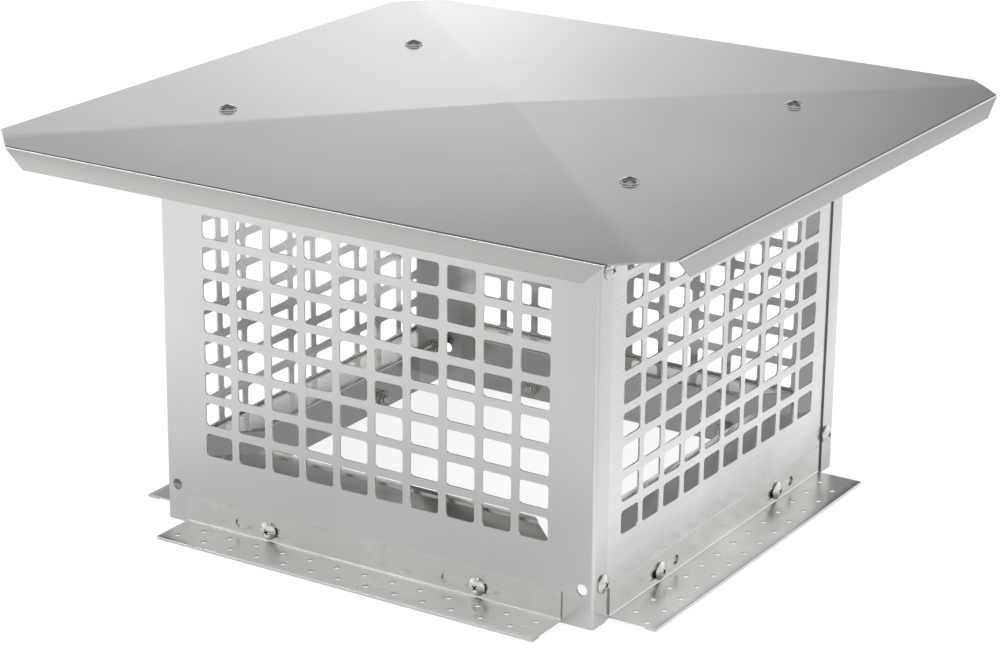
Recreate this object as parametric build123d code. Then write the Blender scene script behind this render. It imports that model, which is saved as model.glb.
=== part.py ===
from build123d import *
import os

# Square sheet-metal chimney cap: four punched walls, a low hipped lid, an inner ledge and an outer base
# flange along each wall, held together with pan-head screws and nuts.
# Millimetres, +Z up, X across the front wall, Y into the depth. The origin is the centre of the foot.

# Sheet
SHEET = 1.0
BEND_INSIDE = 1.0

# Body, over the outer faces of the walls
BODY_WIDTH = 305.0
BODY_DEPTH = 308.0
BODY_HEIGHT = 251.6
RETURN_WIDTH = 14.8
PANEL_END_GAP = 0.2
CORNER_HOLE = 7.0
CORNER_HOLE_INSET = 6.7
CORNER_HOLE_HEIGHT = 23.7

# Punched openings of the walls. As many are punched as fit between the plain margins.
COLUMN_PITCH = 25.0
ROW_PITCH = 20.0
OPENING_WIDTH = 19.8
OPENING_HEIGHT = 14.7
GRILLE_FOOT = 45.2
GRILLE_TOP_MARGIN = 26.2
GRILLE_END_MARGIN = 27.0

# Lid
LID_WIDTH = 462.0
LID_DEPTH = 470.8
LID_RISE = 5.6
RIM_DEPTH = 12.5
RIM_BEND_INSIDE = 0.5
CORNER_CLIP = 29.1

# Flange folded inward along the top of each side wall, under the lid's side slope. Its inner corners may
# pass the ridge between two slopes by the small play.
TOP_FLANGE_WIDTH = 25.0
TOP_FLANGE_INSET = 24.0
TOP_FLANGE_RIDGE_PLAY = 0.1

# Ledge angles inside the walls
LEDGE_HEIGHT = 46.2
LEDGE_WIDTH = 30.0
LEDGE_HEM = 6.0
FRONT_LEDGE_END_GAP = 27.5
SIDE_LEDGE_END_GAP = 29.0

# Base flanges outside the walls
FLANGE_LEG = 19.5
FLANGE_REACH = 32.5
FLANGE_HEM = 8.0
FRONT_FLANGE_END_GAP = 17.5
SIDE_FLANGE_END_GAP = 4.2
FRONT_FLANGE_SHIFT = -2.4
FRONT_HOLE_SHIFT = 4.4
SLOT_LENGTH = 45.2
SLOT_WIDTH = 6.3
NAIL_HOLE = 4.0
NAIL_HOLE_PITCH = 20.0
NAIL_ROW_INSET = 10.4
NAIL_ROW_SPACING = 13.0

# Fasteners
SCREW = 6.0
SCREW_HOLE = 6.6
HEAD = 11.5
HEAD_HEIGHT = 3.3
HEAD_TAPER = 35.0
HEAD_SIDES = 8
HEX_SIDES = 6
NUT_ACROSS_FLATS = 10.0
NUT_HEIGHT = 5.0
NUT_CLEARANCE = 0.05
SCREW_END = 2.0
BASE_SCREW_SPACING = 151.0
BASE_SCREW_HEIGHT = 9.0
CORNER_SCREW_INSET = 10.2
CORNER_SCREW_LOW = 25.6
CORNER_SCREW_TOP_INSET = 36.9
LID_SCREW_INSET = 11.5
LID_SCREW_END_INSET = 28.0

# Sizes worked out from the ones above
BEND_OUTSIDE = BEND_INSIDE + SHEET
BEND_FLAT = BEND_OUTSIDE * (2 - 2 ** 0.5)
TOP_BEND_HEIGHT = 2 * BEND_OUTSIDE
RIM_BEND_OUTSIDE = RIM_BEND_INSIDE + SHEET
HALF_WIDTH = BODY_WIDTH / 2
HALF_DEPTH = BODY_DEPTH / 2
WALL_ACROSS = HALF_WIDTH - SHEET
WALL_ALONG = HALF_DEPTH - SHEET
SLOPE_HALF_WIDTH = LID_WIDTH / 2 - RIM_BEND_OUTSIDE
SLOPE_HALF_DEPTH = LID_DEPTH / 2 - RIM_BEND_OUTSIDE
LID_SLOPE = LID_RISE / SLOPE_HALF_WIDTH
LID_FOLD_HEIGHT = BODY_HEIGHT + SHEET - LID_RISE * (1 - HALF_DEPTH / SLOPE_HALF_DEPTH)
TOP_FLANGE_RIDGE = (HALF_WIDTH - TOP_FLANGE_WIDTH) * SLOPE_HALF_DEPTH / SLOPE_HALF_WIDTH
TOP_FLANGE_HALF_LENGTH = min(HALF_DEPTH - TOP_FLANGE_INSET, TOP_FLANGE_RIDGE + TOP_FLANGE_RIDGE_PLAY)
FRONT_FLANGE_LENGTH = BODY_WIDTH - 2 * FRONT_FLANGE_END_GAP
SIDE_FLANGE_LENGTH = BODY_DEPTH - 2 * (RETURN_WIDTH + SIDE_FLANGE_END_GAP)
FRONT_LEDGE_LENGTH = 2 * (WALL_ACROSS - FRONT_LEDGE_END_GAP)
SIDE_LEDGE_LENGTH = 2 * (WALL_ALONG - SIDE_LEDGE_END_GAP)
ROWS = int((BODY_HEIGHT - GRILLE_FOOT - GRILLE_TOP_MARGIN) / ROW_PITCH)
FRONT_COLUMNS = int((BODY_WIDTH - 2 * GRILLE_END_MARGIN) / COLUMN_PITCH)
SIDE_COLUMNS = int((BODY_DEPTH - 2 * GRILLE_END_MARGIN) / COLUMN_PITCH)
WALL_TURNS = {"front": 0, "right": 90, "back": 180, "left": -90}
WALL_FACES = {"front": HALF_DEPTH, "right": HALF_WIDTH, "back": HALF_DEPTH, "left": HALF_WIDTH}
TWO_SHEETS = 2 * SHEET
THREE_SHEETS = 3 * SHEET


def hole(diameter):
    """Small hole with six flats that clear the stated diameter."""
    return RegularPolygon(diameter / 2, HEX_SIDES, major_radius=False)


def slot():
    """Long hole with six-sided ends."""
    straight = SLOT_LENGTH - SLOT_WIDTH
    ends = [Pos(side * straight / 2, 0) * hole(SLOT_WIDTH) for side in (-1, 1)]
    return Rectangle(straight, SLOT_WIDTH) + ends


def folded_section(start, corner, end, side):
    """Section of a sheet folded once, given its outside face. One flat stands for the small round bend."""
    towards_start = (Vector(*start) - Vector(*corner)).normalized() * BEND_FLAT
    towards_end = (Vector(*end) - Vector(*corner)).normalized() * BEND_FLAT
    path = Polyline(start, Vector(*corner) + towards_start, Vector(*corner) + towards_end, end)
    return make_face(offset(path, SHEET, side=side))


def opening_pattern(columns):
    """All the rectangular openings of one wall, with heights above the foot."""
    centre = Pos(0, GRILLE_FOOT + ROWS * ROW_PITCH / 2)
    spots = GridLocations(COLUMN_PITCH, ROW_PITCH, columns, ROWS)
    return centre * (Sketch() + [spot * Rectangle(OPENING_WIDTH, OPENING_HEIGHT) for spot in spots])


def filled_lid(drop):
    """Everything under the lid's sloping faces, lowered by a drop."""
    foot = Rectangle(2 * SLOPE_HALF_WIDTH, 2 * SLOPE_HALF_DEPTH)
    top = LID_FOLD_HEIGHT - drop
    block = extrude(foot, top)
    slopes = loft([Pos(0, 0, top) * foot.face(), Vertex(0, 0, top + LID_RISE)])
    return block + slopes


def lid_rim(half_span, half_length):
    """Rim folded down along the front edge, with its ends cut back at 45 degrees."""
    bend_centre = Pos(RIM_BEND_OUTSIDE - half_span, LID_FOLD_HEIGHT - RIM_BEND_OUTSIDE)
    ring = Circle(RIM_BEND_OUTSIDE) - Circle(RIM_BEND_INSIDE)
    quarter = Rectangle(RIM_BEND_OUTSIDE, RIM_BEND_OUTSIDE, align=(Align.MAX, Align.MIN))
    straight = RIM_DEPTH - RIM_BEND_OUTSIDE
    leg = Pos(-RIM_BEND_OUTSIDE + SHEET / 2, -straight / 2) * Rectangle(SHEET, straight)
    profile = Plane.YZ * (bend_centre * (ring & quarter) + bend_centre * leg)
    rim = extrude(profile, half_length, both=True)
    top = LID_FOLD_HEIGHT
    bottom = top - RIM_DEPTH
    outline = Polyline(
        (-half_length, top), (half_length, top),
        (half_length - RIM_DEPTH, bottom), (RIM_DEPTH - half_length, bottom), close=True,
    )
    return rim & extrude(Plane.XZ * make_face(outline), half_span, both=True)


def lid():
    plate = filled_lid(0) - filled_lid(SHEET)
    front = lid_rim(LID_DEPTH / 2, LID_WIDTH / 2 - CORNER_CLIP)
    side = lid_rim(LID_WIDTH / 2, LID_DEPTH / 2 - CORNER_CLIP)
    rims = [front, Rot(0, 0, 180) * front, Rot(0, 0, 90) * side, Rot(0, 0, -90) * side]
    sheet = plate + rims
    blank = Rectangle(LID_WIDTH, LID_DEPTH)
    blank = chamfer(blank.vertices(), CORNER_CLIP)
    sheet = sheet & extrude(blank, LID_FOLD_HEIGHT + LID_RISE)
    return sheet - [place(drill(SCREW_HOLE), spot) for spot in lid_screw_spots()]


def drill(diameter):
    """Cutter for a screw hole through up to three sheets under a screw's head."""
    return extrude(hole(diameter), THREE_SHEETS, both=True)


def place(solid, spot):
    return spot.location * solid


def front_sheet():
    """Front wall's sheet, punched, with a return folded round each corner."""
    wide = BODY_WIDTH + TWO_SHEETS
    low_corner = (Align.CENTER, Align.MIN)
    outside = Pos(0, -HALF_DEPTH) * Rectangle(wide, RETURN_WIDTH, align=low_corner)
    outside = fillet(outside.vertices().group_by(Axis.Y)[0], BEND_OUTSIDE)
    inside = Pos(0, -WALL_ALONG) * Rectangle(BODY_WIDTH, RETURN_WIDTH - SHEET, align=low_corner)
    inside = fillet(inside.vertices().group_by(Axis.Y)[0], BEND_INSIDE)
    channel = extrude(outside - inside, LID_FOLD_HEIGHT + LID_RISE) & filled_lid(SHEET)
    hole_across = HALF_WIDTH - CORNER_HOLE_INSET
    corner_holes = [Pos(side * hole_across, CORNER_HOLE_HEIGHT) * hole(CORNER_HOLE) for side in (-1, 1)]
    punched = opening_pattern(FRONT_COLUMNS) + corner_holes
    channel -= extrude(Plane.XZ.offset(WALL_ALONG - SHEET) * punched, THREE_SHEETS)
    spots = base_screw_spots("front") + corner_screw_spots(1) + corner_screw_spots(-1)
    return channel - [place(drill(SCREW_HOLE), spot) for spot in spots]


def between_bends():
    """Everything between the bends of the front wall's corners."""
    return extrude(Rectangle(BODY_WIDTH - 2 * BEND_INSIDE, BODY_DEPTH), BODY_HEIGHT + LID_RISE)


def front_panel():
    """Flat punched face of the front wall, from bend to bend."""
    return front_sheet() & between_bends()


def front_returns():
    """The two bends and returns of the same sheet, which are apart only to keep each solid simple."""
    return Compound((front_sheet() - between_bends()).solids())


def side_wall_top():
    """Height of the lid's underside over the outer face of a side wall."""
    return LID_FOLD_HEIGHT - SHEET + LID_SLOPE * (SLOPE_HALF_WIDTH - HALF_WIDTH)


def right_panel():
    """Flat punched wall between the front and back walls, cut down in the middle to its flange's bend."""
    half_length = WALL_ALONG - BEND_INSIDE - PANEL_END_GAP
    wall = Pos(HALF_WIDTH - SHEET / 2, 0) * Rectangle(SHEET, 2 * half_length)
    wall = extrude(wall, LID_FOLD_HEIGHT + LID_RISE) & filled_lid(SHEET)
    notch = extrude(Rectangle(TWO_SHEETS, 2 * TOP_FLANGE_HALF_LENGTH), LID_RISE + TOP_BEND_HEIGHT)
    wall -= Pos(HALF_WIDTH, 0, side_wall_top() - TOP_BEND_HEIGHT) * notch
    punched = Plane.YZ.offset(WALL_ACROSS - SHEET) * opening_pattern(SIDE_COLUMNS)
    wall -= extrude(punched, THREE_SHEETS)
    spots = base_screw_spots("right") + corner_screw_spots(1)
    return wall - [place(drill(SCREW_HOLE), spot) for spot in spots]


def right_top_flange():
    """Bend and flange of the right wall's sheet, folded in under the lid."""
    top = side_wall_top()
    edge = (HALF_WIDTH - TOP_FLANGE_WIDTH, top + LID_SLOPE * TOP_FLANGE_WIDTH)
    strip = folded_section((HALF_WIDTH, top - TOP_BEND_HEIGHT), (HALF_WIDTH, top), edge, Side.LEFT)
    flange = extrude(Plane.XZ * strip, TOP_FLANGE_HALF_LENGTH, both=True)
    return flange - [place(drill(SCREW_HOLE), spot) for spot in lid_screw_spots()]


def base_flange(face, length, shift, hole_shift):
    """Angle outside a wall, with slots for its screws, nail holes and an edge hemmed under."""
    bottom = SHEET
    outer = -face - FLANGE_REACH
    angle = folded_section((-face, FLANGE_LEG), (-face, bottom), (outer, bottom), Side.RIGHT)
    hem = Pos(outer + FLANGE_HEM / 2, SHEET) * Rectangle(FLANGE_HEM, TWO_SHEETS)
    strip = extrude(Plane.YZ * (angle + hem), length / 2, both=True)
    rows = [
        (-face - NAIL_ROW_INSET, 0),
        (-face - NAIL_ROW_INSET - NAIL_ROW_SPACING, -NAIL_HOLE_PITCH / 2),
    ]
    nail_holes = [
        Pos(hole_shift + offset_along, row) * spot * hole(NAIL_HOLE)
        for row, offset_along in rows
        for spot in GridLocations(NAIL_HOLE_PITCH, 0, int(length / NAIL_HOLE_PITCH), 1)
    ]
    strip -= extrude(Sketch() + nail_holes, THREE_SHEETS)
    slots = [Pos(side * BASE_SCREW_SPACING / 2, BASE_SCREW_HEIGHT) * slot() for side in (-1, 1)]
    strip -= extrude(Plane.XZ.offset(face - SHEET) * (Sketch() + slots), THREE_SHEETS)
    return Pos(shift, 0, 0) * strip


def ledge(face, length):
    """Angle inside a wall, with mitred ends and an edge hemmed over the top."""
    inner = LEDGE_WIDTH - face
    half = length / 2
    angle = folded_section((-face, 0), (-face, LEDGE_HEIGHT), (inner, LEDGE_HEIGHT), Side.RIGHT)
    hem = Pos(inner - LEDGE_HEM / 2, LEDGE_HEIGHT) * Rectangle(LEDGE_HEM, TWO_SHEETS)
    strip = extrude(Plane.YZ * (angle + hem), half, both=True)
    plan = Polyline(
        (-half, -face), (half, -face), (half - LEDGE_WIDTH, inner), (LEDGE_WIDTH - half, inner), close=True,
    )
    strip &= extrude(make_face(plan), LEDGE_HEIGHT + SHEET)
    holes = [Pos(side * BASE_SCREW_SPACING / 2, BASE_SCREW_HEIGHT) * hole(SCREW_HOLE) for side in (-1, 1)]
    return strip - extrude(Plane.XZ.offset(face - TWO_SHEETS) * (Sketch() + holes), THREE_SHEETS)


def screw(grip):
    """Pan-head screw, its head standing on the origin and its shank reaching through the grip and a nut."""
    head = extrude(RegularPolygon(HEAD / 2, HEAD_SIDES), HEAD_HEIGHT, taper=HEAD_TAPER)
    shank = extrude(RegularPolygon(SCREW / 2, HEX_SIDES), -(grip + NUT_HEIGHT + SCREW_END))
    return head + shank


def nut(grip):
    """Nut on a screw that stands on the origin, tight under the grip."""
    blank = hole(NUT_ACROSS_FLATS) - hole(SCREW + 2 * NUT_CLEARANCE)
    return Pos(0, 0, -grip) * extrude(blank, -NUT_HEIGHT)


def base_screw_spots(wall):
    """Planes on the outer face of one base flange, facing away from the wall."""
    face = WALL_FACES[wall] + SHEET
    spots = [
        Plane((side * BASE_SCREW_SPACING / 2, -face, BASE_SCREW_HEIGHT), x_dir=(1, 0, 0), z_dir=(0, -1, 0))
        for side in (-1, 1)
    ]
    return [Plane(Rot(0, 0, WALL_TURNS[wall]) * spot.location) for spot in spots]


def corner_screw_spots(side):
    """Planes on the returns at the left (-1) or right (1), facing outward."""
    return [
        Plane(
            (side * (HALF_WIDTH + SHEET), end * (HALF_DEPTH - CORNER_SCREW_INSET), height),
            x_dir=(0, 0, 1), z_dir=(side, 0, 0),
        )
        for end in (-1, 1)
        for height in (CORNER_SCREW_LOW, BODY_HEIGHT - CORNER_SCREW_TOP_INSET)
    ]


def lid_screw_spots():
    """Planes on the sloping side faces of the lid."""
    across = HALF_WIDTH - LID_SCREW_INSET
    along = TOP_FLANGE_HALF_LENGTH - LID_SCREW_END_INSET
    height = LID_FOLD_HEIGHT + LID_SLOPE * (SLOPE_HALF_WIDTH - across)
    return [
        Plane((side * across, end * along, height), x_dir=(0, 1, 0), z_dir=(side * LID_SLOPE, 0, 1))
        for side in (-1, 1)
        for end in (-1, 1)
    ]


def group(solid, spots):
    """Copies of a fastener at each of its spots, as separate solids."""
    return Compound([place(solid, spot) for spot in spots])


def wall_strips(wall):
    """Base flange, ledge and their fasteners along one wall."""
    face = WALL_FACES[wall]
    shift, hole_shift = (FRONT_FLANGE_SHIFT, FRONT_HOLE_SHIFT) if wall == "front" else (0, 0)
    flange_length = FRONT_FLANGE_LENGTH if wall in ("front", "back") else SIDE_FLANGE_LENGTH
    ledge_length = FRONT_LEDGE_LENGTH if wall in ("front", "back") else SIDE_LEDGE_LENGTH
    turn = Rot(0, 0, WALL_TURNS[wall])
    return {
        wall + "_base_flange": turn * base_flange(face, flange_length, shift, hole_shift),
        wall + "_ledge": turn * ledge(face - SHEET, ledge_length),
        wall + "_base_screws": group(screw(THREE_SHEETS), base_screw_spots(wall)),
        wall + "_base_nuts": group(nut(THREE_SHEETS), base_screw_spots(wall)),
    }


def sub_parts():
    half_turn = Rot(0, 0, 180)
    parts = {"lid": lid()}
    parts["front_panel"] = front_panel()
    parts["front_returns"] = front_returns()
    parts["right_panel"] = right_panel()
    parts["right_top_flange"] = right_top_flange()
    parts["back_panel"] = half_turn * parts["front_panel"]
    parts["back_returns"] = half_turn * parts["front_returns"]
    parts["left_panel"] = half_turn * parts["right_panel"]
    parts["left_top_flange"] = half_turn * parts["right_top_flange"]
    for wall in WALL_TURNS:
        parts |= wall_strips(wall)
    for name, side in (("left", -1), ("right", 1)):
        parts[name + "_corner_screws"] = group(screw(TWO_SHEETS), corner_screw_spots(side))
        parts[name + "_corner_nuts"] = group(nut(TWO_SHEETS), corner_screw_spots(side))
    parts["lid_screws"] = group(screw(TWO_SHEETS), lid_screw_spots())
    parts["lid_nuts"] = group(nut(TWO_SHEETS), lid_screw_spots())
    return parts


os.makedirs("parts", exist_ok=True)
for part_name, part_shape in sub_parts().items():
    export_step(part_shape, f"parts/{part_name}.step")
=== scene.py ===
import math

import bmesh
import bpy
from mathutils import Matrix, Vector


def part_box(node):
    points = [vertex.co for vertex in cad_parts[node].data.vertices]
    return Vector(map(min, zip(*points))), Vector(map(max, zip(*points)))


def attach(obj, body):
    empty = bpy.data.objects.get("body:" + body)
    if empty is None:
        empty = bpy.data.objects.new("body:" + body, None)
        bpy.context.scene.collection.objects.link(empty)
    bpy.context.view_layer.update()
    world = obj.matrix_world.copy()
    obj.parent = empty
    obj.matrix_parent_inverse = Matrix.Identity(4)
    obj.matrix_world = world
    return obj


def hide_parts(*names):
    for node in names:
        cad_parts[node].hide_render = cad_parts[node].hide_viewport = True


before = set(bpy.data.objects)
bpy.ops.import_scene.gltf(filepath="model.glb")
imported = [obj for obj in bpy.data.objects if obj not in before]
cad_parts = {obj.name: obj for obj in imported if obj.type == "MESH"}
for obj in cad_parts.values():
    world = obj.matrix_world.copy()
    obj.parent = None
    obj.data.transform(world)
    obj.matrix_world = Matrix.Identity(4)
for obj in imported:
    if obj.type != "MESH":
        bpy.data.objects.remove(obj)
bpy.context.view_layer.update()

# Sizes are in metres and angles in degrees. The sizes of the sheets repeat the solids' own.
MM = 0.001
SHEET = 1.0 * MM
WALL_BEND = 2.0 * MM
STRIP_BEND = 2.0 * MM
FRONT_LOW, FRONT_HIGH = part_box("front_panel")
_, RETURN_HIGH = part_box("front_returns")
_, SIDE_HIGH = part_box("right_panel")
TOP_FLANGE_LOW, TOP_FLANGE_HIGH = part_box("right_top_flange")
_, LID_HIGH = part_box("lid")
FRONT_FACE = -FRONT_LOW.y
SIDE_FACE = SIDE_HIGH.x
RETURN_EDGE = -RETURN_HIGH.y
WALL_TOP = FRONT_HIGH.z

COLUMN_PITCH = 25.0 * MM
ROW_PITCH = 20.0 * MM
COLUMNS = 10
ROWS = 9
OPENING_WIDTH = 19.8 * MM
OPENING_HEIGHT = 14.7 * MM
OPENING_CORNER = 2.4 * MM
GRILLE_CENTRE = 135.2 * MM
CORNER_HOLE = 7.0 * MM
CORNER_HOLE_INSET = 6.7 * MM
CORNER_HOLE_HEIGHT = 23.7 * MM

LID_RISE = 5.6 * MM
RIM_DEPTH = 12.5 * MM
RIM_BEND = 1.5 * MM
CORNER_CLIP = 29.1 * MM
LID_FOLD = LID_HIGH.z - LID_RISE
SLOPE_ACROSS = LID_HIGH.x - RIM_BEND
SLOPE_ALONG = LID_HIGH.y - RIM_BEND

LEDGE_HEIGHT = 46.2 * MM
LEDGE_WIDTH = 30.0 * MM
LEDGE_HEM = 6.0 * MM

FLANGE_LEG = 19.5 * MM
FLANGE_REACH = 32.5 * MM
FLANGE_HEM = 8.0 * MM
FRONT_HOLE_SHIFT = 4.4 * MM
SLOT_LENGTH = 45.2 * MM
SLOT_WIDTH = 6.3 * MM
SLOT_END_CELL = 6.0 * MM
NAIL_HOLE = 4.0 * MM
NAIL_PITCH = 20.0 * MM
NAIL_HOLES = 13
NAIL_ROW_INSET = 10.4 * MM
NAIL_ROW_SPACING = 13.0 * MM
SCREW_SPACING = 151.0 * MM
SCREW_HEIGHT = 9.0 * MM

HEAD = 11.5 * MM
HEAD_HEIGHT = 3.1 * MM
HEAD_RIM = 1.0 * MM
HEAD_TUCK = 0.4 * MM
RECESS_ARM = 2.1 * MM
RECESS_HALF_WIDTH = 0.5 * MM
RECESS_DEPTH = 2.0 * MM
RECESS_OVERCUT = 0.2 * MM
RECESS_MARGIN = 0.08 * MM
RECESS_FOOT_SHARES = (0.4, 0.6)
RECESS_TURN = 20.0
RECESS_TURN_STEP = 37.0
SHANK = 5.6 * MM
SHANK_NECK = 0.3 * MM
SHANK_POINT = 0.6 * MM
THREAD_PITCH = 1.0 * MM
THREAD_DEPTH = 0.45 * MM
THREAD_START = 0.5 * MM
SCREW_END = 2.0 * MM
NUT_FLATS = 10.0 * MM
NUT_HEIGHT = 5.0 * MM
NUT_CHAMFER = 0.7 * MM
NUT_FACE_SHARE = 0.98
NUT_PLAY = 0.15 * MM
CORNER_SCREW_INSET = 10.2 * MM
CORNER_SCREW_HEIGHTS = (25.6 * MM, 214.7 * MM)
LID_SCREW_ACROSS = 141.0 * MM
LID_SCREW_ALONG = 102.0 * MM

# Steps in which round forms are built, how near two values count as one, and how near a face to mark has to be
BEND_STEPS = 8
CORNER_STEPS = 5
SLOT_END_STEPS = 12
RIM_STEPS = 8
LID_STEPS = 48
LEDGE_CELLS = 12
SCREW_STEPS = 48
CROWN_STEPS = 12
NUT_STEPS = 24
SHEET_DIGITS = 7
LID_DIGITS = 6
ROUND_OFF = 1e-7
MARK_REACH = 0.1 * MM
MARK_SLANT = 0.6

# Stainless: rolling lines, clouds, scratches and waves. The spans are the usual range of each noise.
LINE_SCALE = 900.0
LINE_SCALE_ALONG = 14.0
LINE_DETAIL, LINE_ROUGHNESS = 4.0, 0.65
LINE_SPAN = (0.4, 0.6)
CLOUD_DETAIL, CLOUD_ROUGHNESS, CLOUD_DISTORTION = 5.0, 0.6, 0.6
CLOUD_SPAN = (0.35, 0.65)
SCRATCH_STRENGTH, SCRATCH_HEIGHT = 0.06, 0.00003
WAVE_SCALE, WAVE_DETAIL = 9.0, 1.0
MIX_COLOUR_A, MIX_COLOUR_B, MIX_COLOUR_RESULT = 6, 7, 2

# Camera
CAMERA_PLACE = Vector((0.9268, -1.49725, 0.71693))
CAMERA_AZIMUTH = 31.96
CAMERA_ELEVATION = 18.97
CAMERA_ROLL = 0.627
CAMERA_LENS = 106.7
SENSOR_WIDTH = 36.0

# Floor, as the camera sees it and as the metal mirrors it
FLOOR_REACH = 12.0
FLOOR_DROP = 0.2 * MM
FLOOR_SHADE = 0.85
FLOOR_SEEN_BASE, FLOOR_SEEN_GLOW = 0.20, 0.88
# Painted light: for the metal the floor glows more or less along x, which paints lighter and darker reflections into
# the walls.
FLOOR_MIRRORED_BASE = 0.40
FLOOR_GLOW_REACH = 1.0
FLOOR_MIRRORED_GLOW_BY_X = (
    (-1.0, 0.42), (-0.42, 0.41), (-0.33, 0.38), (-0.24, 0.38), (-0.17, 0.30), (-0.10, 0.27), (-0.05, 0.29),
    (0.07, 0.29), (0.15, 0.42), (0.23, 0.55), (0.36, 0.40), (0.6, 0.30), (1.0, 0.30),
)

# World: strengths of a backdrop behind the cap and of the room in front of it, by angle in degrees. The backdrop
# is the sum of a low and a high part, each a strength by height times one by side.
BACKDROP_AZIMUTH = 33.0
LOW_BACKDROP_BY_HEIGHT = (
    (-90.0, 1.34), (0.0, 1.38), (10.5, 1.40), (11.0, 1.33), (11.5, 1.18), (12.0, 1.06), (13.0, 0.98), (14.0, 0.46),
    (15.0, 0.0), (90.0, 0.0),
)
LOW_BACKDROP_BY_SIDE = (
    (-90.0, 0.70), (-35.0, 0.66), (-18.0, 0.64), (-9.0, 0.70), (-7.5, 0.72), (-5.0, 0.79), (-3.7, 0.86), (-1.5, 0.96),
    (0.0, 1.0), (1.7, 0.91), (3.0, 0.76), (4.5, 0.64), (6.0, 0.56), (7.4, 0.50), (9.0, 0.41), (10.2, 0.33),
    (18.0, 0.32), (35.0, 0.66), (90.0, 0.70),
)
HIGH_BACKDROP_BY_HEIGHT = (
    (-90.0, 0.0), (13.0, 0.0), (14.0, 0.47), (15.0, 0.90), (16.0, 0.85), (17.3, 0.84), (18.5, 0.75), (19.2, 0.62),
    (19.7, 0.48), (20.5, 0.31), (24.0, 0.24), (40.0, 0.15), (90.0, 0.12),
)
HIGH_BACKDROP_BY_SIDE = (
    (-90.0, 0.70), (-35.0, 0.66), (-18.0, 0.62), (-9.0, 0.73), (-7.0, 0.82), (-5.0, 0.90), (-3.0, 0.97), (0.0, 1.0),
    (3.0, 0.97), (5.0, 0.87), (6.6, 0.77), (8.0, 0.66), (10.0, 0.49), (11.0, 0.39), (14.0, 0.33), (18.0, 0.34),
    (35.0, 0.66), (90.0, 0.70),
)
BACKDROP_SHARE = ((-90.0, 0.0), (35.0, 0.0), (56.0, 1.0), (90.0, 1.0))
ROOM_BY_HEIGHT = (
    (-90.0, 1.05), (0.0, 1.05), (12.0, 1.0), (20.0, 0.92), (32.0, 0.80), (41.0, 0.26), (55.0, 0.12), (68.0, 0.14),
    (78.0, 0.30), (90.0, 0.34),
)
ROOM_BY_DEPTH = (
    (-90.0, 0.95), (-50.0, 0.90), (-30.0, 0.84), (-20.0, 0.87), (0.0, 1.05), (15.0, 1.15), (24.0, 1.13), (33.0, 1.2),
    (90.0, 1.25),
)

# Lamps: name, place, the spot that it points at, size, power, and whether the metal mirrors it
LAMPS = (
    ("left_window", (-1.4, -0.5, 0.95), (-0.1, -0.1, 0.1), (0.9, 0.9), 18.5, False),
    ("right_window", (0.5, 0.4, 1.3), (0.4, 0.35, 0.0), (0.6, 0.6), 12.5, False),
    ("ceiling_box", (0.3, 0.3, 2.6), (0.0, 0.0, 0.1), (1.2, 1.2), 10.0, False),
    ("edge_strip", (-1.1, -1.25, 1.65), (0.0, 0.0, 0.25), (1.6, 0.2), 5.5, True),
)


# Folded sheets

def distinct(numbers):
    """The numbers in their order, each once."""
    return list(dict.fromkeys(numbers))


class Section:
    """The line of a folded sheet's cross section, measured along the face that its outline follows."""

    def __init__(self, start, heading):
        self.pieces = []
        self.point = Vector(start)
        self.heading = math.radians(heading)
        self.length = 0.0
        self.cuts = [0.0]

    def straight(self, length):
        self.pieces.append((self.length, length, self.point.copy(), self.heading, None, 0.0))
        self.point += length * Vector((math.cos(self.heading), math.sin(self.heading)))
        self.length += length
        self.cuts.append(self.length)
        return self

    def bend(self, radius, angle):
        """Turns left for a positive angle, in degrees, and right for a negative one."""
        turn = math.radians(angle)
        side = 1.0 if turn > 0 else -1.0
        centre = self.point + radius * side * Vector((-math.sin(self.heading), math.cos(self.heading)))
        length = max(radius, SHEET) * abs(turn)
        self.pieces.append((self.length, length, centre, self.heading, radius, turn))
        spoke = self.point - centre
        spoke.rotate(Matrix.Rotation(turn, 2))
        self.point = centre + spoke
        self.heading += turn
        self.length += length
        self.cuts += [self.length - length * (BEND_STEPS - k - 1) / BEND_STEPS for k in range(BEND_STEPS)]
        return self

    def place(self, along, depth):
        """The point at a distance along the section and a depth to the right of it (left if negative)."""
        piece = self.pieces[-1]
        for candidate in self.pieces:
            if along <= candidate[0] + candidate[1] + ROUND_OFF:
                piece = candidate
                break
        start, length, origin, heading, radius, turn = piece
        if radius is None:
            ahead = Vector((math.cos(heading), math.sin(heading)))
            right = Vector((math.sin(heading), -math.cos(heading)))
            return origin + (along - start) * ahead + depth * right
        side = 1.0 if turn > 0 else -1.0
        now = heading + turn * (along - start) / length
        right = Vector((math.sin(now), -math.cos(now)))
        return origin + right * (radius * side + depth)


def rounded_loop(width, height, corner):
    """Corner arcs of a rounded rectangle about its centre, counter-clockwise from the upper right."""
    arcs = []
    for k, (side_x, side_y) in enumerate(((1, 1), (-1, 1), (-1, -1), (1, -1))):
        centre = Vector((side_x * (width / 2 - corner), side_y * (height / 2 - corner)))
        arc = []
        for step in range(CORNER_STEPS + 1):
            angle = math.radians(90 * k + 90 * step / CORNER_STEPS)
            arc.append(centre + corner * Vector((math.cos(angle), math.sin(angle))))
        arcs.append(arc)
    return arcs


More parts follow.
